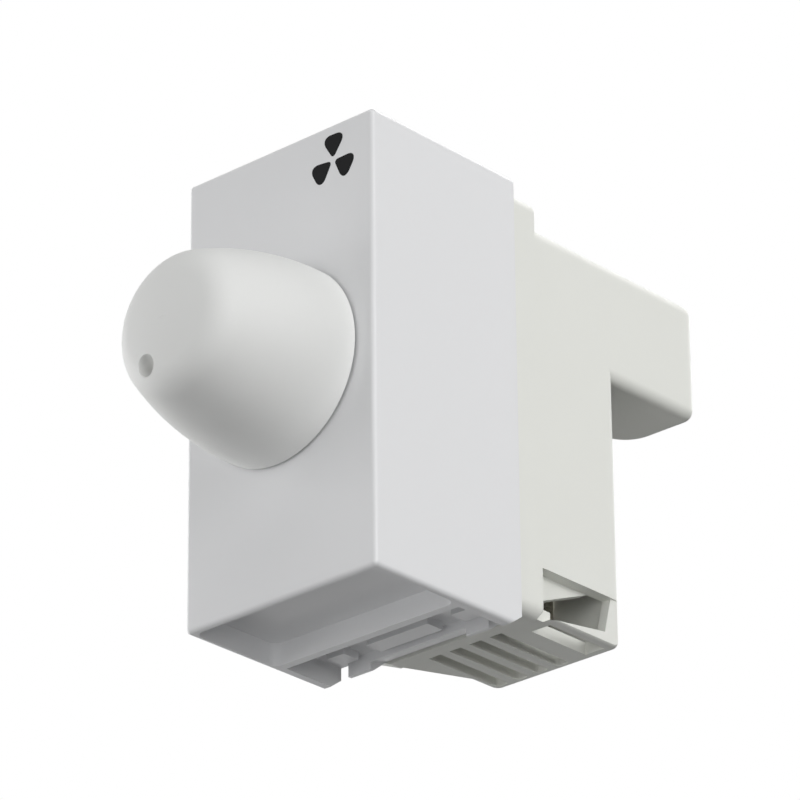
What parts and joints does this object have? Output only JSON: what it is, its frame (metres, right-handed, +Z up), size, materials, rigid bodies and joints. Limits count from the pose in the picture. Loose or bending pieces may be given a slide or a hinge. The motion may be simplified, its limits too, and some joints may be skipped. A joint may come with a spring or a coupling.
{
  "type": "fan speed control switch",
  "caption": "Rotary fan speed control in a narrow module: front cover with a barrel knob, snap latches, stepped rear housing with screw terminals.",
  "frame": {"origin": "on the knob's axis, in the plane where the cover's stops meet the wiring frame's rail", "axes": "+Z up, +X to the right seen from the front, +Y from the front face to the wall box"},
  "size_m": [0.023, 0.0613, 0.045],
  "materials": {
    "cover_plastic": "smooth cool white moulding",
    "housing_plastic": "satin warm white moulding",
    "knob_plastic": "fine matt white moulding",
    "spring_steel": "blued spring strip",
    "turned_metal": "turned",
    "black_moulding": "matt moulding",
    "zinc_casting": "zinc die casting, satin",
    "plated_steel": "bright zinc plate",
    "track_board": "phenolic laminate",
    "tinned_metal": "tinned",
    "board_laminate": "paper laminate",
    "sink_aluminium": "rolled sheet",
    "ferrite": "pressed ferrite, dull",
    "copper_wire": "enamelled copper",
    "brass": "machined",
    "capacitor_case": "moulded box",
    "capacitor_film": "dipped film",
    "resistor_lacquer": "lacquer",
    "diac_glass": "glass bead"
  },
  "bodies": {
    "housing": {"front_cover": "cover_plastic", "rear_housing": "housing_plastic", "pot_bushing": "zinc_casting", "pot_washer": "plated_steel", "pot_nut": "plated_steel", "pot_track_board": "track_board", "pot_pins": "tinned_metal", "pot_case": "plated_steel", "circuit_board": "board_laminate", "heat_sink": "sink_aluminium", "triac_body": "black_moulding", "triac_leads": "tinned_metal", "heat_sink_screw": "plated_steel", "choke_core": "ferrite", "choke_winding": "copper_wire", "terminal_legs": "brass", "snubber_capacitor": "capacitor_case", "timing_capacitor": "capacitor_film", "resistors": "resistor_lacquer", "diac": "diac_glass", "terminal_cage_line": "brass", "terminal_screw_line": "plated_steel", "terminal_cage_load": "brass", "terminal_screw_load": "plated_steel"},
    "knob": {"knob": "knob_plastic", "knob_spring": "spring_steel", "pot_shaft": "turned_metal", "pot_wiper": "black_moulding"}
  },
  "joints": [
    {"name": "knob_turn", "type": "hinge", "parent": "housing", "child": "knob", "pos_m": [0, -0.019, 0], "axis": [0, 1, 0], "range_deg": [0, 300]}
  ]
}
